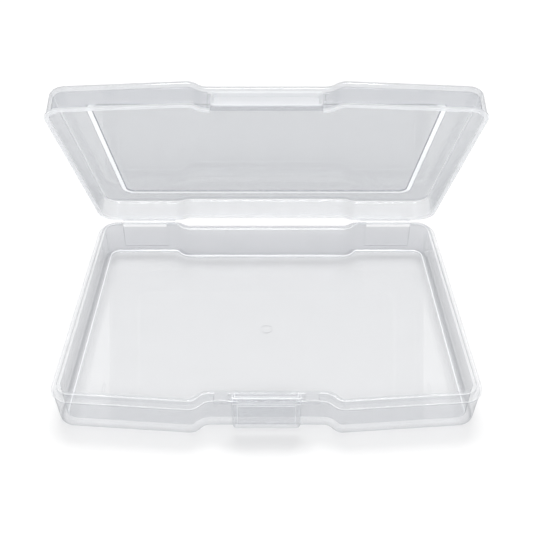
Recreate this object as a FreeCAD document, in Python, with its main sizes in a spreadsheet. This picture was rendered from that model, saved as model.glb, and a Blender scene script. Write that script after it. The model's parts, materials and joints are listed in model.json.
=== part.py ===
"""Clear hinged storage case: a tray, a lid, two hinge webs and a snap latch.

The case stands on the table with its front to -Y and its hinge to +Y.  The origin lies on the table under
the middle of the tray.  The tray, the webs and the latch are built where they stay.  The lid is built
closed on the tray and then turned open about the hinge line.

One outline, drawn once, gives every wall of the tray and the lid: each is that outline set in by a named
amount.  All sizes are in the sheet, in millimetres and degrees.  A fit is the size it fits plus a named gap.
"""

import os

import FreeCAD
import Part
import Sketcher

VECTOR = FreeCAD.Vector

DIMENSIONS = {
    # outline in plan: the rim's outer edge, its right half counted from the front middle
    "case_width": 162.0,
    "front_y": 57.7,
    "back_y": 57.5,
    "front_notch_depth": 3.94,
    "front_notch_margin": 1.3,
    "front_lobe_run": 3.15,
    "front_corner_step": 4.2,
    "back_lobe_half": 41.3,
    "back_lobe_run": 2.8,
    "back_notch_depth": 2.65,
    "wall_notch_extra": 1.5,
    "corner_radius": 8.5,
    "front_lobe_radius": 6.3,
    "front_notch_radius": 3.0,
    "back_lobe_radius": 6.0,
    "back_notch_radius": 3.0,
    # tray
    "ledge_z": 16.0,
    "lip_thickness": 1.0,
    "lip_edge": 0.28,
    "wall_inset": 0.5,
    "foot_inset": 1.4,
    "foot_radius": 2.5,
    "rim_height": 2.0,
    "rim_clearance": 0.32,
    "rim_thickness": 1.56,
    "rim_radius": 0.45,
    "floor_draft": 0.47,
    "floor_thickness": 1.7,
    "floor_radius": 1.6,
    # marks the mould leaves on the floor
    "gate_radius": 2.6,
    "gate_line": 0.6,
    "gate_height": 0.3,
    "gate_setout": 2.0,
    "pin_mark_side": 16.0,
    "pin_mark_front": 20.7,
    "pin_mark_length": 4.0,
    "pin_mark_width": 1.0,
    # lid, closed on the tray
    "lid_height": 11.0,
    "lid_wall_inset": 0.4,
    "lid_top_draft": 0.5,
    "lid_top_radius": 2.0,
    "lid_wall": 1.35,
    "lid_inner_draft": 0.45,
    "lid_panel_thickness": 1.7,
    "lid_inner_radius": 1.4,
    "frame_side_margin": 12.5,
    "frame_front_margin": 13.6,
    "frame_back_margin": 13.4,
    "frame_corner": 6.0,
    "frame_width": 2.4,
    "frame_height": 0.6,
    "frame_radius": 0.5,
    # hinge
    "hinge_setback": 1.23,
    "hinge_drop": 1.0,
    "lid_open": 56.5,
    "web_setout": 3.7,
    "web_margin": 10.4,
    "web_thickness": 0.4,
    "web_sag": 0.75,
    "gap_near_inset": 3.5,
    "gap_far_inset": 0.3,
    "back_relief_depth": 1.2,
    "back_relief_foot_z": 3.0,
    # latch
    "latch_half": 12.6,
    "latch_cover": 0.65,
    "latch_thickness": 1.8,
    "latch_foot_z": 3.8,
    "latch_corner": 1.8,
    "latch_edge": 0.6,
    "latch_band": 1.8,
    "latch_foot_band": 1.3,
    "latch_relief": 0.8,
    "relief_land": 0.1,
    "barrel_wall": 0.59,
    "pocket_side_gap": 0.3,
    "pocket_back_gap": 0.75,
    "pocket_foot_gap": 0.8,
    "ear_gap": 1.6,
    "ear_width": 5.2,
    "ear_drop": 0.4,
    "ear_edge": 0.25,
    "pivot_radius": 0.8,
    "pivot_setout": 0.34,
    "pivot_rise": 0.6,
    "pivot_reach": 3.2,
    "pivot_clearance": 0.06,
    "pivot_end_gap": 0.3,
    "hook_height": 1.1,
    "hook_gap": 0.3,
    "hook_engage": 0.86,
    "hook_side_inset": 1.0,
    "hook_radius": 0.5,
    # catch in the lid's front
    "catch_gap": 0.7,
    "catch_end_wall": 1.4,
    "catch_bar": 0.9,
    "catch_depth": 2.6,
    "catch_roof": 1.3,
    "catch_draft": 1.1,
    "catch_back_wall": 1.65,
    "ear_clearance": 0.1,
    # how far a cutting tool runs past a face, and how far a joined block sinks into its neighbour
    "cut_past": 1.0,
    "sink": 0.5,
}

# heights
UNDER_LIP = "(dims.ledge_z - dims.lip_thickness)"
RIM_TOP = "(dims.ledge_z + dims.rim_height)"
SHELF_Z = f"({RIM_TOP} + dims.ear_clearance)"
CATCH_FLOOR = f"({SHELF_Z} + dims.catch_bar)"
LID_TOP = "(dims.ledge_z + dims.lid_height)"
PANEL_Z = f"({LID_TOP} - dims.lid_panel_thickness)"
HINGE_Z = "(dims.ledge_z - dims.hinge_drop)"
PIVOT_Z = "(dims.ledge_z + dims.pivot_rise)"
LATCH_TOP = f"({CATCH_FLOOR} + dims.hook_gap + dims.hook_height)"

# insets from the outline
LID_INNER = "(dims.lid_wall_inset + dims.lid_wall)"
RIM_OUTER = f"({LID_INNER} + dims.rim_clearance)"
RIM_INNER = f"({RIM_OUTER} + dims.rim_thickness)"
FLOOR_LINE = f"({RIM_INNER} + dims.floor_draft)"

# distances from the origin to the front and the back
NOTCH_Y = "(dims.front_y - dims.front_notch_depth)"
PIVOT_Y = f"({NOTCH_Y} + dims.pivot_setout)"
BARREL = "(dims.pivot_radius + dims.pivot_clearance + dims.barrel_wall)"
LATCH_FRONT = f"({PIVOT_Y} + {BARREL} + dims.latch_cover)"
HINGE_Y = "(dims.back_y + dims.hinge_setback)"

# distances from the middle to the sides
EAR_NEAR = "(dims.latch_half + dims.ear_gap)"
EAR_FAR = f"({EAR_NEAR} + dims.ear_width)"
CATCH_HALF = f"({EAR_FAR} + dims.catch_gap)"
BLOCK_HALF = f"({CATCH_HALF} + dims.catch_end_wall)"
NOTCH_HALF = f"({BLOCK_HALF} + dims.front_notch_margin)"
WEB_NEAR = "(dims.back_lobe_half + dims.web_setout)"
WEB_FAR = "(dims.case_width / 2 - dims.web_margin)"


def bind(item, **expressions):
    """Tie properties of a document object to sheet expressions."""
    for prop, expression in expressions.items():
        item.setExpression(prop.replace("__", "."), expression)
    return item


def make_sheet(doc):
    """Write every driving dimension to the sheet, one aliased cell a row."""
    sheet = doc.addObject("Spreadsheet::Sheet", "dims")
    for row, (alias, value) in enumerate(DIMENSIONS.items(), 1):
        sheet.set(f"A{row}", alias)
        sheet.set(f"B{row}", str(value))
        sheet.setAlias(f"B{row}", alias)
    doc.recompute()


def sheet_value(doc, expression):
    """Value of a sheet expression as a plain number, for a first guess or for picking edges."""
    return float(FreeCAD.Units.Quantity(doc.dims.evalExpression(expression)))


def constrain(sketch, name, expression, *terms):
    """Add a named constraint whose value follows the sheet."""
    sketch.renameConstraint(sketch.addConstraint(Sketcher.Constraint(*terms)), name)
    sketch.setExpression(f"Constraints.{name}", expression)


def pin_point(sketch, name, x, y, curve, end):
    """Fix one end of a curve at a place given by sheet expressions."""
    for axis, kind, expression in (("x", "DistanceX", x), ("y", "DistanceY", y)):
        guess = sheet_value(sketch.Document, expression)
        constrain(sketch, f"{name}_{axis}", expression, kind, -1, 1, curve, end, guess)


def rounded_polygon(doc, name, corners):
    """Closed sketch of straight sides with rounded corners.

    corners is a list of (x expression, y expression, radius expression), in order around the outline.
    """
    sketch = doc.addObject("Sketcher::SketchObject", name)
    points = [VECTOR(sheet_value(doc, x), sheet_value(doc, y), 0) for x, y, _ in corners]
    count = len(points)
    for i in range(count):
        sketch.addGeometry(Part.LineSegment(points[i], points[(i + 1) % count]), False)
    for i in range(count):
        sketch.addConstraint(Sketcher.Constraint("Coincident", i, 2, (i + 1) % count, 1))
    for i, (x, y, _) in enumerate(corners):
        pin_point(sketch, f"corner{i}", x, y, i, 1)
    for i, (_, _, radius) in enumerate(corners):
        sketch.fillet(i, 1, sheet_value(doc, radius), True, True, False)
    arcs = [k for k, curve in enumerate(sketch.Geometry) if isinstance(curve, Part.ArcOfCircle)]
    for i, (_, _, radius) in enumerate(corners):
        constrain(sketch, f"radius{i}", radius, "Radius", arcs[i], sketch.Geometry[arcs[i]].Radius)
    doc.recompute()
    return sketch


def case_outline(doc, name, back_notch_depth):
    """Outline of the case in plan, mirrored about the middle, with its back notch as deep as asked."""
    half = [
        (NOTCH_HALF, f"-{NOTCH_Y}", "dims.front_notch_radius"),
        (f"{NOTCH_HALF} + dims.front_lobe_run", "-dims.front_y", "dims.front_lobe_radius"),
        ("dims.case_width / 2", "-(dims.front_y - dims.front_corner_step)", "dims.corner_radius"),
        ("dims.case_width / 2", "dims.back_y", "dims.corner_radius"),
        ("dims.back_lobe_half", "dims.back_y", "dims.back_lobe_radius"),
        ("dims.back_lobe_half - dims.back_lobe_run", f"dims.back_y - {back_notch_depth}",
         "dims.back_notch_radius"),
    ]
    mirrored = [(f"-({x})", y, radius) for x, y, radius in reversed(half)]
    return rounded_polygon(doc, name, half + mirrored)


def inset(doc, name, sketch, amount):
    """Copy of a closed outline set in by an amount."""
    curve = doc.addObject("Part::Offset2D", name)
    curve.Source = sketch
    return bind(curve, Value=f"-({amount})")


def prism(doc, name, profile, foot, height, taper="0"):
    """Solid raised from a flat profile; it widens upward by the taper angle."""
    solid = doc.addObject("Part::Extrusion", name)
    solid.Base = profile
    solid.DirMode = "Normal"
    solid.Solid = True
    return bind(solid, LengthFwd=height, TaperAngle=taper, Placement__Base__z=foot)


def box(doc, name, x, y, z):
    """Box between low and high expressions along each axis."""
    solid = doc.addObject("Part::Box", name)
    bind(solid, Length=f"({x[1]}) - ({x[0]})", Width=f"({y[1]}) - ({y[0]})", Height=f"({z[1]}) - ({z[0]})")
    return bind(solid, Placement__Base__x=x[0], Placement__Base__y=y[0], Placement__Base__z=z[0])


def mirrored_boxes(doc, name, x, y, z):
    """The same box on both sides of the middle."""
    other = (f"-({x[1]})", f"-({x[0]})")
    return [box(doc, f"{name}_right", x, y, z), box(doc, f"{name}_left", other, y, z)]


def rod(doc, name, radius, x, y, z):
    """Cylinder along X between two x expressions."""
    solid = doc.addObject("Part::Cylinder", name)
    solid.Placement.Rotation = FreeCAD.Rotation(VECTOR(0, 1, 0), 90)
    bind(solid, Radius=radius, Height=f"({x[1]}) - ({x[0]})")
    return bind(solid, Placement__Base__x=x[0], Placement__Base__y=y, Placement__Base__z=z)


def mirrored_rods(doc, name, radius, x, y, z):
    """The same cylinder on both sides of the middle."""
    other = (f"-({x[1]})", f"-({x[0]})")
    return [rod(doc, f"{name}_right", radius, x, y, z), rod(doc, f"{name}_left", radius, other, y, z)]


def fuse(doc, name, solids):
    """Union of solids."""
    item = doc.addObject("Part::MultiFuse", name)
    item.Shapes = solids
    item.Refine = True
    return item


def cut(doc, name, base, tools):
    """A solid less the union of the tools."""
    item = doc.addObject("Part::Cut", name)
    item.Base = base
    item.Tool = tools[0] if len(tools) == 1 else fuse(doc, f"{name}_tools", tools)
    item.Refine = True
    return item


def rounded(doc, name, base, radius, picks):
    """Round the edges of a solid that the test picks."""
    doc.recompute()
    item = doc.addObject("Part::Fillet", name)
    item.Base = base
    size = sheet_value(doc, radius)
    item.Edges = [(i, size, size) for i, edge in enumerate(base.Shape.Edges, 1) if picks(edge)]
    return item


def level(doc, *heights, tolerance=1e-4):
    """Test for edges that lie flat at one of the heights."""
    levels = [sheet_value(doc, height) for height in heights]

    def lies_flat(edge):
        low, high = edge.BoundBox.ZMin, edge.BoundBox.ZMax
        return any(abs(low - z) < tolerance and abs(high - z) < tolerance for z in levels)

    return lies_flat


def make_tray(doc, outline, wall_outline):
    """Base tray: walls, floor, ledge lip, raised rim and the latch's ears and pins, in one moulding."""
    wall = prism(doc, "tray_wall", inset(doc, "tray_foot_line", wall_outline, "dims.foot_inset"), "0",
                 UNDER_LIP, f"atan((dims.foot_inset - dims.wall_inset) / {UNDER_LIP})")
    body = rounded(doc, "tray_body", wall, "dims.foot_radius", level(doc, "0"))
    lip_block = prism(doc, "tray_lip_block", outline, UNDER_LIP, "dims.lip_thickness")
    lip = rounded(doc, "tray_lip", lip_block, "dims.lip_edge", level(doc, UNDER_LIP, "dims.ledge_z"))
    rim = prism(doc, "tray_rim_block", inset(doc, "rim_outer_line", outline, RIM_OUTER),
                "dims.ledge_z", "dims.rim_height")
    hollow_height = f"({RIM_TOP} - dims.floor_thickness)"
    hollow_block = prism(doc, "tray_hollow_block", inset(doc, "floor_line", wall_outline, FLOOR_LINE),
                         "dims.floor_thickness", hollow_height, f"atan(dims.floor_draft / {hollow_height})")
    hollow = rounded(doc, "tray_hollow", hollow_block, "dims.floor_radius",
                     level(doc, "dims.floor_thickness"))
    open_tray = cut(doc, "open_tray", fuse(doc, "tray_solid", [body, lip, rim]), [hollow])
    rimmed = rounded(doc, "rimmed_tray", open_tray, "dims.rim_radius", level(doc, RIM_TOP))
    gap_x = (f"{WEB_NEAR} + dims.gap_near_inset", f"{WEB_FAR} - dims.gap_far_inset")
    rim_gaps = mirrored_boxes(doc, "rim_gap", gap_x, (f"dims.back_y - 2 * {FLOOR_LINE}", "dims.back_y"),
                              ("dims.ledge_z", f"{RIM_TOP} + dims.cut_past"))
    wall_reliefs = mirrored_boxes(
        doc, "wall_relief", gap_x,
        ("dims.back_y - dims.wall_inset - dims.back_relief_depth", "dims.back_y + dims.cut_past"),
        ("dims.back_relief_foot_z", UNDER_LIP))
    pocket_half = "(dims.latch_half + dims.pocket_side_gap)"
    pocket = box(doc, "latch_pocket", (f"-{pocket_half}", pocket_half),
                 (f"-{LATCH_FRONT}", f"-({PIVOT_Y} - {BARREL} - dims.pocket_back_gap)"),
                 ("dims.latch_foot_z - dims.pocket_foot_gap", "dims.ledge_z"))
    ear_front = f"(-{PIVOT_Y} - dims.pivot_radius)"
    ear_blocks = mirrored_boxes(doc, "ear_block", (EAR_NEAR, EAR_FAR),
                                (ear_front, f"-{NOTCH_Y} + {RIM_OUTER} + dims.rim_radius"),
                                ("dims.ledge_z - dims.ear_drop", RIM_TOP))
    front_y = sheet_value(doc, ear_front)
    ears = [rounded(doc, f"ear{block.Name[9:]}", block, "dims.ear_edge",
                    lambda edge: edge.BoundBox.YMax < front_y + 1e-4) for block in ear_blocks]
    pins = mirrored_rods(doc, "pivot_pin", "dims.pivot_radius",
                         (f"{EAR_NEAR} - dims.pivot_reach", f"{EAR_NEAR} + dims.sink"),
                         f"-{PIVOT_Y}", PIVOT_Z)
    shell = cut(doc, "tray_shell", rimmed, [pocket] + rim_gaps + wall_reliefs)
    return fuse(doc, "base_tray", [shell] + ears + pins + floor_marks(doc))


def floor_marks(doc):
    """Gate ring and two ejector ribs that stand a little above the tray's floor."""
    foot = "dims.floor_thickness - dims.gate_height"
    ring = doc.addObject("Part::Cylinder", "gate_ring_block")
    bore = doc.addObject("Part::Cylinder", "gate_ring_bore")
    bind(ring, Radius="dims.gate_radius")
    bind(bore, Radius="dims.gate_radius - dims.gate_line")
    for item in (ring, bore):
        bind(item, Height="2 * dims.gate_height")
        bind(item, Placement__Base__y="-dims.gate_setout", Placement__Base__z=foot)
    middle = "(dims.case_width / 2 - dims.pin_mark_side)"
    start = "(dims.pin_mark_front - dims.front_y)"
    ribs = mirrored_boxes(
        doc, "ejector_rib",
        (f"{middle} - dims.pin_mark_width / 2", f"{middle} + dims.pin_mark_width / 2"),
        (start, f"{start} + dims.pin_mark_length"),
        (foot, "dims.floor_thickness + dims.gate_height"))
    return [cut(doc, "gate_ring", ring, [bore])] + ribs


def make_lid(doc, outline):
    """Lid: walls, panel, rim lip, inner frame line and the catch, built closed and turned open."""
    wall = prism(doc, "lid_wall_block", inset(doc, "lid_wall_line", outline, "dims.lid_wall_inset"),
                 "dims.ledge_z", "dims.lid_height", "-atan(dims.lid_top_draft / dims.lid_height)")
    body = rounded(doc, "lid_body", wall, "dims.lid_top_radius", level(doc, LID_TOP))
    lip_block = prism(doc, "lid_lip_block", outline, "dims.ledge_z", "dims.lip_thickness")
    lip = rounded(doc, "lid_lip", lip_block, "dims.lip_edge",
                  level(doc, "dims.ledge_z", "dims.ledge_z + dims.lip_thickness"))
    depth = "(dims.lid_height - dims.lid_panel_thickness)"
    hollow_block = prism(doc, "lid_hollow_block", inset(doc, "lid_inner_line", outline, LID_INNER),
                         "dims.ledge_z", depth, f"-atan(dims.lid_inner_draft / {depth})")
    hollow = rounded(doc, "lid_hollow", hollow_block, "dims.lid_inner_radius", level(doc, PANEL_Z))
    shell = cut(doc, "lid_shell", fuse(doc, "lid_solid", [body, lip]), [hollow])
    back = f"-{NOTCH_Y} + dims.catch_depth + dims.catch_back_wall"
    block = box(doc, "catch_block", (f"-{BLOCK_HALF}", BLOCK_HALF),
                (f"-{NOTCH_Y} + dims.lid_wall_inset + dims.lid_wall / 2", back),
                (SHELF_Z, f"{PANEL_Z} + dims.sink"))
    with_block = fuse(doc, "lid_with_block", [shell, block, frame_line(doc)])
    notch = box(doc, "ear_notch", (f"-{CATCH_HALF}", CATCH_HALF),
                (f"-{NOTCH_Y} - dims.cut_past", f"{back} + dims.cut_past"), ("dims.ledge_z", SHELF_Z))
    lid = cut(doc, "lid", with_block, [catch_recess(doc), notch])
    turn = "rotation(vector(-1; 0; 0); dims.lid_open)"
    pivot = f"vector(0; {HINGE_Y}; {HINGE_Z})"
    bind(lid, Placement=f"placement(vector(0; 0; 0); {turn}; {pivot})")
    return lid


def catch_recess(doc):
    """Tool for the catch recess: open to the front, its ends and roof drafted, its floor level."""
    recess = doc.addObject("Part::Wedge", "catch_recess")
    inner_half = f"({CATCH_HALF} - dims.catch_draft)"
    roof = f"({PANEL_Z} - dims.catch_roof)"
    bind(recess, Xmin=f"-{CATCH_HALF}", Xmax=CATCH_HALF, X2min=f"-{inner_half}", X2max=inner_half)
    bind(recess, Ymin=f"-{NOTCH_Y}", Ymax=f"-{NOTCH_Y} + dims.catch_depth")
    bind(recess, Zmin=CATCH_FLOOR, Z2min=CATCH_FLOOR, Zmax=roof, Z2max=f"{roof} - dims.catch_draft")
    return recess


def frame_line(doc):
    """Rounded raised line around the inside of the lid's panel."""
    side = "(dims.case_width / 2 - dims.frame_side_margin)"
    front, back = "-(dims.front_y - dims.frame_front_margin)", "(dims.back_y - dims.frame_back_margin)"
    corners = [(side, front), (side, back), (f"-{side}", back), (f"-{side}", front)]
    line = rounded_polygon(doc, "frame_outline", [(x, y, "dims.frame_corner") for x, y in corners])
    foot = f"{PANEL_Z} - dims.frame_height"
    height = "dims.frame_height + dims.sink"
    outer = prism(doc, "frame_block", line, foot, height)
    inner = prism(doc, "frame_inner", inset(doc, "frame_inner_line", line, "dims.frame_width"), foot, height)
    ring = cut(doc, "frame_ring", outer, [inner])
    return rounded(doc, "frame", ring, "dims.frame_radius", level(doc, foot))


def web_section(doc):
    """Cross-section of a hinge web: a strip arched backward from the tray's ledge to the opened lid's rim.

    Both long sides are arcs of the same sag; the strip's ends stand square to the line between them.
    """
    foot_y, foot_z = "dims.back_y", "(dims.ledge_z - dims.lip_thickness / 2)"
    arm_y, arm_z = f"(dims.back_y - {HINGE_Y})", f"(dims.ledge_z + dims.lip_thickness / 2 - {HINGE_Z})"
    head_y = f"({HINGE_Y} + {arm_y} * cos(dims.lid_open) + {arm_z} * sin(dims.lid_open))"
    head_z = f"({HINGE_Z} + {arm_z} * cos(dims.lid_open) - {arm_y} * sin(dims.lid_open))"
    run, rise = f"({head_y} - {foot_y})", f"({head_z} - {foot_z})"
    chord = f"sqrt({run}^2 + {rise}^2)"
    radius = f"({chord}^2 / 4 + dims.web_sag^2) / (2 * dims.web_sag)"
    sketch = doc.addObject("Sketcher::SketchObject", "web_section")
    sketch.Placement.Rotation = FreeCAD.Rotation(VECTOR(1, 1, 1), 120)
    plain = [VECTOR(sheet_value(doc, y), sheet_value(doc, z), 0)
             for y, z in ((foot_y, foot_z), (head_y, head_z))]
    out = VECTOR(plain[1].y - plain[0].y, plain[0].x - plain[1].x, 0).normalize()
    for step in ("0", "dims.web_thickness"):
        start, end = [point + out * sheet_value(doc, step) for point in plain]
        middle = (start + end) * 0.5 + out * sheet_value(doc, "dims.web_sag")
        arc = sketch.addGeometry(Part.Arc(start, middle, end), False)
        for name, y, z, place in (("foot", foot_y, foot_z, 1), ("head", head_y, head_z, 2)):
            pin_point(sketch, f"{name}{arc}", f"{y} + {step} * {rise} / {chord}",
                      f"{z} - {step} * {run} / {chord}", arc, place)
        constrain(sketch, f"radius{arc}", radius, "Radius", arc, sketch.Geometry[arc].Radius)
    for place in (1, 2):
        ends = [sketch.getPoint(arc, place) for arc in (0, 1)]
        line = sketch.addGeometry(Part.LineSegment(*ends), False)
        for arc in (0, 1):
            sketch.addConstraint(Sketcher.Constraint("Coincident", arc, place, line, arc + 1))
    doc.recompute()
    return sketch


def make_web(doc, name, section, near_x):
    """Thin hinge web, the section drawn out along the hinge line."""
    web = doc.addObject("Part::Extrusion", name)
    web.Base = section
    web.DirMode = "Normal"
    web.Solid = True
    return bind(web, LengthFwd=f"{WEB_FAR} - {WEB_NEAR}", Placement__Base__x=near_x)


def make_latch(doc):
    """Latch lever: a rounded plate with a hollowed back, a pivot barrel with two sockets and a hook."""
    half = ("-dims.latch_half", "dims.latch_half")
    back_y = f"(-{LATCH_FRONT} + dims.latch_thickness)"
    foot_z = sheet_value(doc, "dims.latch_foot_z")
    front_y = -sheet_value(doc, LATCH_FRONT)
    tip_y = -sheet_value(doc, f"{NOTCH_Y} - dims.hook_engage")
    near = sheet_value(doc, "dims.latch_edge") / 10
    plate = box(doc, "latch_block", half, (f"-{LATCH_FRONT}", back_y), ("dims.latch_foot_z", LATCH_TOP))
    foot_corners = rounded(
        doc, "latch_corners", plate, "dims.latch_corner",
        lambda e: e.BoundBox.ZMax < foot_z + near and e.BoundBox.XLength < near)
    front = rounded(
        doc, "latch_plate", foot_corners, "dims.latch_edge", lambda e: e.BoundBox.YMax < front_y + near)
    barrel = rod(doc, "latch_barrel", BARREL, half, f"-{PIVOT_Y}", PIVOT_Z)
    hook_half = "(dims.latch_half - dims.hook_side_inset)"
    hook = box(doc, "hook_block", (f"-{hook_half}", hook_half),
               (f"{back_y} - dims.sink", f"-({NOTCH_Y} - dims.hook_engage)"),
               (f"{LATCH_TOP} - dims.hook_height", LATCH_TOP))
    bead = rounded(
        doc, "hook", hook, "min(dims.hook_radius; 0.49 * dims.hook_height)",
        lambda e: e.BoundBox.XLength > near and e.BoundBox.YMin > tip_y - near)
    relief_half = "(dims.latch_half - dims.latch_band)"
    relief = box(doc, "back_relief", (f"-{relief_half}", relief_half),
                 (f"{back_y} - dims.latch_relief", f"{back_y} + dims.cut_past"),
                 ("dims.latch_foot_z + dims.latch_foot_band", f"{PIVOT_Z} - {BARREL} - dims.relief_land"))
    socket_end = f"{EAR_NEAR} - dims.pivot_reach - dims.pivot_end_gap"
    sockets = mirrored_rods(doc, "socket", "dims.pivot_radius + dims.pivot_clearance",
                            (socket_end, "dims.latch_half + dims.cut_past"), f"-{PIVOT_Y}", PIVOT_Z)
    solid = fuse(doc, "latch_solid", [front, barrel, bead])
    return cut(doc, "latch_lever", solid, [relief] + sockets)


def check(doc, nodes):
    """Stop if any object failed to build or a node isn't one valid solid."""
    for item in doc.Objects:
        if "Invalid" in item.State or "Error" in item.State:
            raise RuntimeError(f"{item.Name}: {item.State}")
    for node in nodes:
        shape = node.Shape
        if shape.isNull() or not shape.isValid() or len(shape.Solids) != 1:
            raise RuntimeError(f"{node.Label}: not one valid solid")
        print(f"{node.Label}: {shape.Volume / 1000:.2f} cm3, {shape.BoundBox}")


def main():
    """Build the document, check it and write one STEP file a node."""
    doc = FreeCAD.newDocument("storage_case")
    make_sheet(doc)
    outline = case_outline(doc, "case_outline", "dims.back_notch_depth")
    wall_outline = case_outline(
        doc, "wall_outline", "(dims.back_notch_depth + dims.wall_notch_extra)")
    section = web_section(doc)
    nodes = [
        make_tray(doc, outline, wall_outline),
        make_lid(doc, outline),
        make_latch(doc),
        make_web(doc, "hinge_web_right", section, WEB_NEAR),
        make_web(doc, "hinge_web_left", section, f"-{WEB_FAR}"),
    ]
    for node in nodes:
        node.Label = node.Name
    doc.recompute()
    check(doc, nodes)
    os.makedirs("parts", exist_ok=True)
    for node in nodes:
        node.Shape.exportStep(f"parts/{node.Label}.step")


main()
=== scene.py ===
"""Looks of the clear hinged storage case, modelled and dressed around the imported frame."""

from __future__ import annotations

import json
import logging
import math
from dataclasses import dataclass
from enum import Enum
from typing import Any, Dict, List, NamedTuple, Optional, Sequence, Tuple, Union

import bpy
from mathutils import Matrix, Vector

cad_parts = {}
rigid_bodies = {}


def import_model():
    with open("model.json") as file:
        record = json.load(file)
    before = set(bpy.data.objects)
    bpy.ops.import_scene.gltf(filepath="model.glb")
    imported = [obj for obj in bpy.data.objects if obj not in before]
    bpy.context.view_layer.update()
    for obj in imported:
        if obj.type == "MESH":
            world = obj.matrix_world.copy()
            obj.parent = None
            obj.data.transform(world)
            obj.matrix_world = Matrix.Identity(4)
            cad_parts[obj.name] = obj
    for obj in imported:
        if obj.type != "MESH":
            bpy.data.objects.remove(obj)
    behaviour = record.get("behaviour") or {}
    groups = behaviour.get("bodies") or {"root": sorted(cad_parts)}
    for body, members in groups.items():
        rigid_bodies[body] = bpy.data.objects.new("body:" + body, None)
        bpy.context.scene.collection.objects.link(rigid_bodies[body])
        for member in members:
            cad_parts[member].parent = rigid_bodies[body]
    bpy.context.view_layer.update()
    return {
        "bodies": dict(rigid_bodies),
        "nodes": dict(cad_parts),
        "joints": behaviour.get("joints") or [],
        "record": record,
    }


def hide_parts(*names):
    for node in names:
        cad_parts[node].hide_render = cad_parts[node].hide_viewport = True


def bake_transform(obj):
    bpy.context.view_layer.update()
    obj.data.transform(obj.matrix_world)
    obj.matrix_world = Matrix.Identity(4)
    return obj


LOG = logging.getLogger("storage_case")
MM = 0.001
Colour = Tuple[float, float, float]
WHITE: Colour = (1.0, 1.0, 1.0)
LID_HINGE = (0.0, 58.73 * MM, 15.0 * MM)
LID_OPEN = math.radians(56.5)


# ---------------------------------------------------------------- shader maths


class Term:
    """A shader socket that takes part in Python arithmetic by adding Math nodes."""

    def __init__(self, graph: "Graph", socket: bpy.types.NodeSocket) -> None:
        """Keep the socket and the graph it belongs to.

        Args:
            graph: The node graph that new Math nodes go into.
            socket: The output socket that carries the value.
        """
        self.graph = graph
        self.socket = socket

    def _math(self, operation: str, first: Any, second: Any) -> "Term":
        """Return the Math node's result for two operands."""
        return self.graph.node("ShaderNodeMath", {"operation": operation}, {0: first, 1: second})

    def __add__(self, other: Any) -> "Term":
        """Sum."""
        return self._math("ADD", self, other)

    def __radd__(self, other: Any) -> "Term":
        """Sum with a number on the left."""
        return self._math("ADD", other, self)

    def __sub__(self, other: Any) -> "Term":
        """Difference."""
        return self._math("SUBTRACT", self, other)

    def __rsub__(self, other: Any) -> "Term":
        """Difference from a number on the left."""
        return self._math("SUBTRACT", other, self)

    def __mul__(self, other: Any) -> "Term":
        """Product."""
        return self._math("MULTIPLY", self, other)

    def __rmul__(self, other: Any) -> "Term":
        """Product with a number on the left."""
        return self._math("MULTIPLY", other, self)

    def __gt__(self, other: Any) -> "Term":
        """One where this value is above the other, else zero."""
        return self._math("GREATER_THAN", self, other)

    def __lt__(self, other: Any) -> "Term":
        """One where this value is below the other, else zero."""
        return self._math("LESS_THAN", self, other)

    def at_most(self, other: Any) -> "Term":
        """The smaller of the two."""
        return self._math("MINIMUM", self, other)

    def at_least(self, other: Any) -> "Term":
        """The larger of the two."""
        return self._math("MAXIMUM", self, other)

    def ramp(self, low: float, high: float) -> "Term":
        """Smooth step from zero at low to one at high.

        Args:
            low: Value that gives zero.
            high: Value that gives one.

        Returns:
            The eased share between the two.
        """
        return self.graph.node(
            "ShaderNodeMapRange",
            {"interpolation_type": "SMOOTHSTEP", "clamp": True},
            {"Value": self, "From Min": low, "From Max": high},
        )


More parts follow.
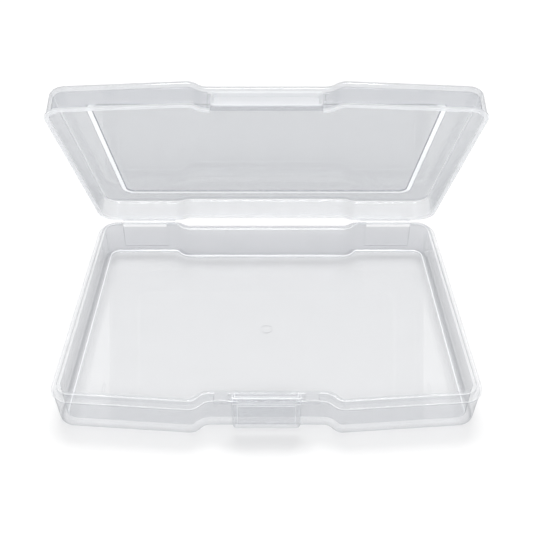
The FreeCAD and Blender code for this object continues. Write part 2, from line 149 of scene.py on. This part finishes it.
class Graph:
    """One material's or world's node tree, filled by a single node method."""

    def __init__(self, tree: bpy.types.NodeTree) -> None:
        """Empty the tree and start from nothing.

        Args:
            tree: The node tree to fill.
        """
        self.tree = tree
        tree.nodes.clear()

    def node(
        self,
        kind: str,
        settings: Dict[str, Any],
        values: Dict[Union[int, str], Any],
        output: Union[int, str] = 0,
    ) -> Term:
        """Add one node.

        Args:
            kind: The node's type name.
            settings: Properties set before the sockets, such as an operation.
            values: A number, colour, vector or Term for each input socket.
            output: Which output the returned term carries.

        Returns:
            The chosen output as a term.
        """
        made = self.tree.nodes.new(kind)
        for name, value in settings.items():
            setattr(made, name, value)
        for key, value in values.items():
            if isinstance(value, Term):
                self.tree.links.new(value.socket, made.inputs[key])
            else:
                made.inputs[key].default_value = value
        return Term(self, made.outputs[output])

    def close(self, kind: str, surface: Term) -> None:
        """Add the output node and link the finished shader to it."""
        out = self.tree.nodes.new(kind)
        self.tree.links.new(surface.socket, out.inputs["Surface"])

    def also(self, term: Term, output: Union[int, str]) -> Term:
        """Another output of the node that a term comes from."""
        return Term(self, term.socket.node.outputs[output])

    def mix_colour(self, share: Any, first: Any, second: Any) -> Term:
        """Blend two colours by a share from zero to one."""
        return self.node(
            "ShaderNodeMix",
            {"data_type": "RGBA"},
            {"Factor": share, 6: opaque(first), 7: opaque(second)},
            output=2,
        )

    def noise(self, where: Term, scale: float, detail: float) -> Term:
        """Noise from zero to one, with waves per metre and octaves of finer noise."""
        return self.node("ShaderNodeTexNoise", {}, {"Vector": where, "Scale": scale, "Detail": detail})

    def mix(self, share: Any, first: Term, second: Term) -> Term:
        """Blend two shaders by a share from zero to one."""
        return self.node("ShaderNodeMixShader", {}, {0: share, 1: first, 2: second})

    def both(self, first: Term, second: Term) -> Term:
        """Two shaders added together."""
        return self.node("ShaderNodeAddShader", {}, {0: first, 1: second})

    def transparent(self, colour: Colour) -> Term:
        """Straight-through shader of one tint."""
        return self.node("ShaderNodeBsdfTransparent", {}, {"Color": opaque(colour)})

    def matt(self, colour: Any) -> Term:
        """Matt shader of one colour or colour term."""
        return self.node("ShaderNodeBsdfDiffuse", {}, {"Color": opaque(colour)})

    def translucent(self, colour: Colour) -> Term:
        """Shader that lets light through, scattered."""
        return self.node("ShaderNodeBsdfTranslucent", {}, {"Color": opaque(colour)})

    def place(self) -> Term:
        """Object coordinates in metres."""
        return self.node("ShaderNodeTexCoord", {}, {}, output="Object")

    def seen_directly(self) -> Term:
        """One for camera, glossy and transmission rays, which show the studio itself."""
        path = self.node("ShaderNodeLightPath", {}, {}, output="Is Camera Ray")
        return (path + self.also(path, "Is Glossy Ray") + self.also(path, "Is Transmission Ray")).at_most(1.0)


def opaque(colour: Any) -> Any:
    """A three-part colour with full alpha; terms pass through."""
    return (*colour, 1.0) if isinstance(colour, tuple) and len(colour) == 3 else colour


# ---------------------------------------------------------------- finishes, with painted highlights and painted shade


class Gloss(Enum):
    """How a moulded face was finished in the tool, as shader roughness."""

    POLISHED = 0.03
    SOFT = 0.07


@dataclass(frozen=True)
class ShutPose:
    """How a piece turns about its hinge to lie shut; the tray, the latch and the webs don't turn."""

    turn: float = 0.0
    pivot: Tuple[float, float, float] = (0.0, 0.0, 0.0)

    def place(self, graph: Graph, coordinates: Term) -> "ShutPlace":
        """Where a point lies when the case is shut.

        Args:
            graph: The material's graph.
            coordinates: Object coordinates.

        Returns:
            The place along each axis.
        """
        arm = graph.node("ShaderNodeVectorMath", {"operation": "SUBTRACT"}, {0: coordinates, 1: self.pivot})
        shut = graph.node(
            "ShaderNodeMapping", {"vector_type": "POINT"}, {"Vector": arm, "Rotation": (self.turn, 0.0, 0.0)}
        )
        across = graph.node("ShaderNodeSeparateXYZ", {}, {"Vector": shut}, output="X")
        along, height = graph.also(across, "Y"), graph.also(across, "Z")
        return ShutPlace(across, along + self.pivot[1], height + self.pivot[2])

    def lean(self, graph: Graph, coordinates: Term) -> Tuple[Term, Term]:
        """Which way a face looks when the case is shut, whichever side it is seen from.

        Args:
            graph: The material's graph.
            coordinates: Object coordinates, whose node also carries the normal.

        Returns:
            How far it looks sideways and how far it looks up, each from minus one to one.
        """
        turned = graph.node(
            "ShaderNodeMapping",
            {"vector_type": "NORMAL"},
            {"Vector": graph.also(coordinates, "Normal"), "Rotation": (self.turn, 0.0, 0.0)},
        )
        rise = graph.node("ShaderNodeSeparateXYZ", {}, {"Vector": turned}, output="Z")
        inside = graph.node("ShaderNodeNewGeometry", {}, {}, output="Backfacing")
        return graph.also(rise, "X"), rise * (1.0 - 2.0 * inside)


class ShutPlace(NamedTuple):
    """A shaded point's place in the shut case, in metres."""

    across: Term
    along: Term
    height: Term


@dataclass(frozen=True)
class PanelBead:
    """Raised bead round the lid's panel, with a painted highlight on its crown and painted shade on its
    sides.
    """

    half_width: float = 70.0 * MM
    half_length: float = 46.0 * MM
    front: float = -42.0 * MM
    crown_height: float = 24.7 * MM
    crown_over: float = 0.04 * MM
    crown_under: float = 0.2 * MM
    foot_height: float = 25.28 * MM
    glow: float = 0.72
    side_shade: float = 0.8

    def shares(self, place: ShutPlace) -> Tuple[Term, Term, Term]:
        """Where the bead is.

        Args:
            place: The shaded point in the shut case.

        Returns:
            One within the bead's reach, one on its crown, and one on its two sides.
        """
        across, along, height = place
        near = (across * across < self.half_width**2) * (along * along < self.half_length**2)
        shown = near * (along > self.front)
        rim = self.crown_height + self.crown_over
        crown = shown * (height < rim) * (height > self.crown_height - self.crown_under)
        return near, crown, shown * (height > rim) * (height < self.foot_height)


@dataclass(frozen=True)
class CatchHighlight:
    """The catch in the lid's front wall, given a block of painted highlight."""

    half_width: float = 20.0 * MM
    front: float = -50.0 * MM
    foot: float = 18.3 * MM
    top: float = 24.2 * MM
    glow: float = 0.4

    def share(self, place: ShutPlace) -> Term:
        """How much painted highlight the catch gets at a point.

        Args:
            place: The shaded point in the shut case.

        Returns:
            The share of painted white highlight, zero away from the catch.
        """
        between = (place.height > self.foot) * (place.height < self.top)
        ahead = (place.across * place.across < self.half_width**2) * (place.along < self.front)
        return between * ahead * self.glow


@dataclass(frozen=True)
class LidMouth:
    """The lid's open rim: a painted highlight, stronger on its rounded edges and fainter all round its lip.
    """

    edge_top: float = 18.0 * MM
    edge_glow: float = 0.9
    lip_top: float = 16.9 * MM
    lip_glow: float = 0.34


@dataclass(frozen=True)
class BackWallShade:
    """Painted shade on the back walls: a darker tint seen through them."""

    start: float = 48.0 * MM
    tint: Colour = (0.83, 0.835, 0.85)


@dataclass(frozen=True)
class SharpEdgeHighlight:
    """Painted highlights along edges that the tool left sharp, found from how far a rounded-over normal
    turns.
    """

    width: float = 0.4 * MM
    samples: int = 6
    start: float = 0.03
    full: float = 0.16

    def share(self, graph: Graph) -> Term:
        """Where the sharp edges are.

        Args:
            graph: The material's graph.

        Returns:
            Zero away from the edges, one along them.
        """
        rounded = graph.node("ShaderNodeBevel", {"samples": self.samples}, {"Radius": self.width})
        plain = graph.node("ShaderNodeNewGeometry", {}, {}, output="Normal")
        match = graph.node(
            "ShaderNodeVectorMath", {"operation": "DOT_PRODUCT"}, {0: rounded, 1: plain}, output="Value"
        )
        return (1.0 - match).ramp(self.start, self.full)


@dataclass(frozen=True)
class ClearPlastic:
    """Clear moulded polypropylene: glassy walls with a faint haze, painted highlights on rounded edges, and
    painted shade on some edges and walls.
    """

    name: str
    tint: Colour = (0.983, 0.984, 0.987)
    # tint seen through upright walls; on the tray and latch it is darker than on level faces, a painted shade
    upright_shade_tint: Colour = (0.915, 0.919, 0.928)
    sideways_shade_relief: float = 0.0
    milk: Colour = (0.97, 0.975, 0.98)
    milk_through: float = 0.5
    haze: float = 0.10
    haze_low: float = 0.85
    haze_swing: float = 0.3
    edge_highlight_white: Colour = (0.8, 0.805, 0.815)
    edge_glow: float = 0.75
    round_glow: float = 0.8
    shaded_side: float = -1.0
    shaded_line: float = 0.35
    # dark tint for grazing views through the plastic, also taking the painted shade of shaded edges and the
    # bead's sides
    deep_and_shade_tint: Colour = (0.38, 0.395, 0.43)
    depth: float = 0.15
    outline: float = 1.7
    gloss: Gloss = Gloss.POLISHED
    gloss_level: float = 0.04
    gloss_limit: float = 0.5
    cloud_scale: float = 55.0
    cloud_detail: float = 3.0
    wipe_scale: float = 495.0
    wipe_detail: float = 2.0
    cloud_rough: float = 0.02
    wipe_rough: float = 0.015
    shade_clear: float = 0.0
    pose: ShutPose = ShutPose()
    bead: Optional[PanelBead] = None
    catch: Optional[CatchHighlight] = None
    mouth: Optional[LidMouth] = None
    back_shade: Optional[BackWallShade] = None
    sharp: Optional[SharpEdgeHighlight] = None

    def edges(self, graph: Graph, place: ShutPlace, line: Term, shaded: Term) -> Term:
        """How much painted highlight an edge gets.

        Args:
            graph: The material's graph.
            place: The shaded point in the shut case.
            line: One in the middle of a rounded edge, falling to zero on flat faces.
            shaded: One on edges that get painted shade in place of a highlight.

        Returns:
            The share of painted white highlight.
        """
        glow = self.round_glow
        # painted highlight on the lid's mouth, stronger on its rounded edges
        if self.mouth is not None:
            glow = glow + (place.height < self.mouth.edge_top) * (self.mouth.edge_glow - self.round_glow)
        edge = glow * line * (1.0 - shaded)
        # fainter painted highlight all round the lid's lip
        if self.mouth is not None:
            edge = edge.at_least((place.height < self.mouth.lip_top) * self.mouth.lip_glow)
        # painted highlight along sharp edges
        if self.sharp is not None:
            edge = edge.at_least(self.sharp.share(graph))
        return edge

    def glass(self, graph: Graph, place: ShutPlace, sideways: Term, level: Term) -> Term:
        """What is seen through the plastic, with painted shade: upright walls take their own tint, less where
        they face sideways, and back walls a darker one.

        Args:
            graph: The material's graph.
            place: The shaded point in the shut case.
            sideways: How far the face looks sideways in the shut case.
            level: One on level faces, zero on upright walls.

        Returns:
            The transparent shader.
        """
        clear = graph.transparent(self.tint)
        # painted shade: upright walls take their own tint, less so where they face sideways
        upright_shade = (1.0 - level) * (1.0 - self.sideways_shade_relief * sideways * sideways)
        clear = graph.mix(upright_shade, clear, graph.transparent(self.upright_shade_tint))
        if self.back_shade is not None:
            # painted shade: back walls are seen through a darker tint
            back_shaded = (place.along > self.back_shade.start) * (1.0 - level)
            clear = graph.mix(back_shaded, clear, graph.transparent(self.back_shade.tint))
        return clear

    def material(self) -> bpy.types.Material:
        """Build the node material.

        Returns:
            The finished material.
        """
        made = bpy.data.materials.new(self.name)
        made.use_nodes = True
        graph = Graph(made.node_tree)
        where = graph.place()
        place = self.pose.place(graph, where)
        sideways, rise = self.pose.lean(graph, where)
        level = rise * rise
        curve = 4.0 * level * (1.0 - level)  # one where a rounded edge is half-way over
        line = curve * curve * curve
        # painted shade: rounded edges whose face turns to the shaded side get a dark line in place of a
        # highlight
        shaded = rise * self.shaded_side > 0.0
        edge = self.edges(graph, place, line, shaded)

        facing = graph.node("ShaderNodeLayerWeight", {}, {}, output="Facing")
        squared = facing * facing
        fourth = squared * squared
        depth = fourth * fourth * self.outline + fourth * self.depth
        # the painted shade of those edges goes into the darkening too
        depth = depth.at_least(shaded * line * self.shaded_line)
        if self.bead is not None:
            near, crown, side = self.bead.shares(place)
            # painted highlight on the bead's crown, painted shade on its sides
            edge = (edge * (1.0 - near)).at_least(crown * self.bead.glow)
            depth = depth.at_least(side * self.bead.side_shade)
        # painted highlight on the catch
        if self.catch is not None:
            edge = edge.at_least(self.catch.share(place))

        cloud = graph.noise(where, self.cloud_scale, self.cloud_detail)
        wipe = graph.noise(where, self.wipe_scale, self.wipe_detail)
        haze = self.haze * (self.haze_low + self.haze_swing * cloud)
        glass = self.glass(graph, place, sideways, level)
        see = graph.mix(depth.at_most(1.0), glass, graph.transparent(self.deep_and_shade_tint))
        milky = graph.mix(self.milk_through, graph.matt(self.milk), graph.translucent(self.milk))
        body = graph.mix(haze, see, milky)
        # painted highlight: matt and translucent white added together, mixed in along edges, the bead's
        # crown, the catch and the lid's mouth
        painted_highlight = graph.both(graph.matt(self.edge_highlight_white), graph.translucent(self.edge_highlight_white))
        body = graph.mix(self.edge_glow * edge, body, painted_highlight)
        if self.shade_clear > 0.0:
            shadow = graph.node("ShaderNodeLightPath", {}, {}, output="Is Shadow Ray")
            body = graph.mix(shadow * self.shade_clear, body, graph.transparent(WHITE))
        rough = self.gloss.value + self.cloud_rough * cloud + self.wipe_rough * wipe
        shine = graph.node("ShaderNodeBsdfAnisotropic", {}, {"Color": opaque(WHITE), "Roughness": rough})
        mirror = self.gloss_level + (self.gloss_limit - self.gloss_level) * fourth * facing
        graph.close("ShaderNodeOutputMaterial", graph.mix(mirror, body, shine))
        return made


@dataclass(frozen=True)
class PaleSweep:
    """Matt white sweep under the case; seen directly it is a little brighter and plain white far off."""

    name: str = "pale_sweep"
    colour: Colour = (0.93, 0.93, 0.93)
    grain_colour: Colour = (0.9207, 0.9207, 0.9207)
    grain_scale: float = 90.0
    grain_detail: float = 2.0
    lift: float = 0.08
    far_start: float = 0.7
    far_full: float = 1.8

    def material(self) -> bpy.types.Material:
        """Build the node material.

        Returns:
            The finished material.
        """
        made = bpy.data.materials.new(self.name)
        made.use_nodes = True
        graph = Graph(made.node_tree)
        where = graph.place()
        seen = graph.seen_directly()
        reach = graph.node("ShaderNodeVectorMath", {"operation": "LENGTH"}, {0: where}, output="Value")
        grain = graph.noise(where, self.grain_scale, self.grain_detail)
        matt = graph.matt(graph.mix_colour(grain, self.colour, self.grain_colour))
        near = graph.both(matt, graph.node("ShaderNodeEmission", {}, {"Strength": seen * self.lift}))
        far = graph.node("ShaderNodeEmission", {}, {"Strength": 1.0})
        share = seen * reach.ramp(self.far_start, self.far_full)
        graph.close("ShaderNodeOutputMaterial", graph.mix(share, near, far))
        return made


# ---------------------------------------------------------------- modelling helpers


def start_fresh() -> None:
    """Leave edit mode and deselect everything, the CAD nodes included."""
    if bpy.context.object is not None and bpy.context.object.mode != "OBJECT":
        bpy.ops.object.mode_set(mode="OBJECT")
    bpy.ops.object.select_all(action="DESELECT")


def dress(piece: bpy.types.Object, finish: bpy.types.Material) -> None:
    """Give every material slot of a piece one finish.

    Args:
        piece: The object to dress.
        finish: The material for all its slots.
    """
    if not piece.material_slots:
        piece.data.materials.append(finish)
    for holder in piece.material_slots:
        holder.material = finish


# ---------------------------------------------------------------- the case


@dataclass
class Moulding:
    """A moulded piece whose CAD shape is right: it keeps its mesh and gets its finish."""

    node: str
    finish: ClearPlastic

    def build(self, frame: Dict[str, Any]) -> bpy.types.Object:
        """Dress the CAD node.


        Returns:
            The dressed node.
        """
        piece = frame["nodes"][self.node]
        dress(piece, self.finish.material())
        LOG.info("%s: %d faces, %s", piece.name, len(piece.data.polygons), self.finish.name)
        return piece


@dataclass
class HingeWebs:
    """Two thin strips moulded between tray and lid, arched backward; the real strips bend as the lid turns,
    these are modelled at the opened lid's angle.
    """

    near_x: float = 45.0 * MM
    far_x: float = 70.6 * MM
    back_y: float = 57.5 * MM
    tray_edge_z: float = 15.5 * MM
    lid_edge_z: float = 16.5 * MM
    lid_open: float = LID_OPEN
    thickness: float = 0.4 * MM
    sag: float = 0.75 * MM
    steps: int = 14
    merge_distance: float = 0.001 * MM
    smooth_angle: float = math.radians(40)

    def section_points(self, axis: Vector) -> Tuple[Vector, Vector]:
        """Where the strip leaves the tray and where it meets the opened lid.

        Args:
            axis: A point on the lid's hinge line.

        Returns:
            The two points, at x = 0.
        """
        start = Vector((0, self.back_y, self.tray_edge_z))
        arm = Vector((0, self.back_y - axis.y, self.lid_edge_z - axis.z))
        end = Matrix.Rotation(-self.lid_open, 3, "X") @ arm + Vector((0, axis.y, axis.z))
        return start, end

    def strip(self, axis: Vector) -> bpy.types.Object:
        """Model the right-hand strip by spinning its cross-section along the arch.

        Args:
            axis: A point on the lid's hinge line.

        Returns:
            The closed strip.
        """
        start, end = self.section_points(axis)
        chord = end - start
        across = Vector((0, chord.z, -chord.y)).normalized()
        half = chord.length / 2
        radius = (half * half + self.sag * self.sag) / (2 * self.sag)
        centre = (start + end) / 2 + across * (self.sag - radius)
        swing = 2 * math.asin(half / radius)
        outward = (start - centre).normalized()

        start_fresh()
        bpy.ops.mesh.primitive_plane_add(size=1, location=(0, 0, 0))
        piece = bpy.context.object
        middle = start + outward * self.thickness / 2
        turn = Vector((0, 1, 0)).rotation_difference(outward).to_matrix().to_4x4()
        piece.matrix_world = (
            Matrix.Translation(((self.near_x + self.far_x) / 2, middle.y, middle.z))
            @ turn
            @ Matrix.Diagonal((self.far_x - self.near_x, self.thickness, 1, 1))
        )
        bpy.ops.object.transform_apply(location=True, rotation=True, scale=True)
        bpy.ops.object.mode_set(mode="EDIT")
        bpy.ops.mesh.select_all(action="SELECT")
        bpy.ops.mesh.spin(steps=self.steps, angle=-swing, center=centre, axis=(1, 0, 0))
        bpy.ops.mesh.select_all(action="SELECT")
        bpy.ops.mesh.remove_doubles(threshold=self.merge_distance)
        bpy.ops.mesh.normals_make_consistent(inside=False)
        bpy.ops.object.mode_set(mode="OBJECT")
        bpy.ops.object.shade_smooth_by_angle(angle=self.smooth_angle)
        return piece

    def build(self, frame: Dict[str, Any], finish: ClearPlastic) -> List[bpy.types.Object]:
        """Model one strip, copy it to the other side, and hide the CAD webs that they stand in for.

        Args:
            finish: The clear plastic of the webs.

        Returns:
            The two strips.
        """
        joint = next(j for j in frame["joints"] if j["name"] == "lid_hinge")
        axis = Vector(joint["pos_m"])
        right = self.strip(axis)
        left = right.copy()
        left.data = right.data.copy()
        left.data.transform(Matrix.Translation((-(self.near_x + self.far_x), 0, 0)))
        bpy.context.scene.collection.objects.link(left)
        material = finish.material()
        for piece, side in ((right, "right"), (left, "left")):
            piece.name = f"web_{side}"
            dress(piece, material)
            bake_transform(piece)
            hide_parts(f"hinge_web_{side}")
            LOG.info("%s: %d faces", piece.name, len(piece.data.polygons))
        return [right, left]


# ---------------------------------------------------------------- studio


@dataclass
class Studio:
    """Pale sweep, two soft lamps, and a white room that is brighter overhead."""

    bounces: int = 16
    diffuse_bounces: int = 2
    clamp: float = 3.0
    denoising_input: str = "RGB_ALBEDO_NORMAL"
    floor_half: float = 4.0
    floor_drop: float = 0.1 * MM
    ambient: float = 0.36
    horizon: float = 1.0
    ceiling: float = 1.6
    rise_start: float = 0.35
    rise_full: float = 0.8
    top_size: Tuple[float, float] = (1.8, 1.0)
    top_place: Tuple[float, float, float] = (0.0, 1.3, 3.0)
    top_power: float = 55.0
    key_size: Tuple[float, float] = (1.4, 0.9)
    key_place: Tuple[float, float, float] = (0.0, -2.3, 2.5)
    key_power: float = 44.0

    def lay_floor(self) -> None:
        """Lay the sweep that the case stands on."""
        start_fresh()
        bpy.ops.mesh.primitive_plane_add(size=2 * self.floor_half, location=(0, 0, -self.floor_drop))
        floor = bpy.context.object
        floor.name = "studio_floor"
        dress(floor, PaleSweep().material())

    def light_room(self) -> None:
        """World light: white round the horizon, and brighter overhead where it shows in the plastic."""
        world = bpy.data.worlds.new("studio_room")
        bpy.context.scene.world = world
        world.use_nodes = True
        graph = Graph(world.node_tree)
        way = graph.node("ShaderNodeTexCoord", {}, {}, output="Generated")
        height = graph.node("ShaderNodeSeparateXYZ", {}, {"Vector": way}, output="Z")
        rise = height.ramp(self.rise_start, self.rise_full)
        shown = self.horizon + rise * (self.ceiling - self.horizon)
        direct = graph.seen_directly()
        level = direct * shown + (1.0 - direct) * self.ambient
        sky = graph.node("ShaderNodeBackground", {}, {"Color": opaque(WHITE), "Strength": level})
        graph.close("ShaderNodeOutputWorld", sky)

    def lamp(self, name: str, place: Sequence[float], size: Sequence[float], power: float) -> None:
        """Hang one soft rectangular lamp that faces the case.

        Args:
            name: The lamp's name.
            place: Where it hangs.
            size: Its two sides.
            power: Its power in watts.
        """
        data = bpy.data.lights.new(name, "AREA")
        data.shape = "RECTANGLE"
        data.size, data.size_y = size
        data.energy = power
        lamp = bpy.data.objects.new(name, data)
        bpy.context.scene.collection.objects.link(lamp)
        lamp.location = place
        lamp.rotation_euler = (-Vector(place)).to_track_quat("-Z", "Y").to_euler()

    def build(self) -> None:
        """Set up floor, room and lamps."""
        cycles = bpy.context.scene.cycles
        cycles.caustics_reflective = cycles.caustics_refractive = False
        cycles.glossy_bounces = cycles.transmission_bounces = cycles.max_bounces = self.bounces
        cycles.transparent_max_bounces = self.bounces
        cycles.diffuse_bounces = self.diffuse_bounces
        cycles.sample_clamp_indirect = self.clamp
        cycles.denoising_input_passes = self.denoising_input
        self.lay_floor()
        self.light_room()
        self.lamp("top_softbox", self.top_place, self.top_size, self.top_power)
        self.lamp("key_softbox", self.key_place, self.key_size, self.key_power)


@dataclass
class Viewpoint:
    """Camera in front of the case, looking down into the open tray."""

    place: Tuple[float, float, float] = (0.0, -0.23916, 0.23293)
    pitch: float = math.radians(33.78)
    lens: float = 50.48
    sensor: float = 36.0
    shift_y: float = -0.1407
    clip_start: float = 10.0 * MM

    def build(self) -> None:
        """Create the camera and make it the scene's."""
        data = bpy.data.cameras.new("viewpoint")
        data.sensor_width = self.sensor
        data.lens = self.lens
        data.shift_y = self.shift_y
        data.clip_start = self.clip_start
        camera = bpy.data.objects.new("viewpoint", data)
        bpy.context.scene.collection.objects.link(camera)
        camera.location = self.place
        camera.rotation_euler = (math.pi / 2 - self.pitch, 0, 0)
        bpy.context.scene.camera = camera


def case_finishes() -> Dict[str, ClearPlastic]:
    """The clear plastic of each moulding, by its node's name."""
    return {
        "base_tray": ClearPlastic("clear_tray_plastic", depth=0.1, sideways_shade_relief=0.7, back_shade=BackWallShade()),
        "lid": ClearPlastic(
            "clear_lid_plastic",
            tint=(0.792, 0.799, 0.813),
            upright_shade_tint=(0.9, 0.905, 0.915),
            edge_highlight_white=(0.68, 0.685, 0.69),
            round_glow=0.25,
            shaded_side=1.0,
            shade_clear=0.7,
            pose=ShutPose(LID_OPEN, LID_HINGE),
            bead=PanelBead(),
            catch=CatchHighlight(),
            mouth=LidMouth(),
        ),
        "latch_lever": ClearPlastic(
            "clear_latch_plastic", upright_shade_tint=(0.95, 0.954, 0.962), edge_glow=0.7, sharp=SharpEdgeHighlight()
        ),
    }


def main() -> None:
    """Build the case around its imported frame, then the studio."""
    logging.basicConfig(level=logging.INFO, format="%(name)s: %(message)s")
    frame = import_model()
    bpy.context.scene.view_settings.view_transform = "Standard"
    for node, finish in case_finishes().items():
        Moulding(node, finish).build(frame)
    HingeWebs().build(frame, ClearPlastic("clear_web_plastic", gloss=Gloss.SOFT))
    Studio().build()
    Viewpoint().build()


if __name__ == "__main__":
    main()
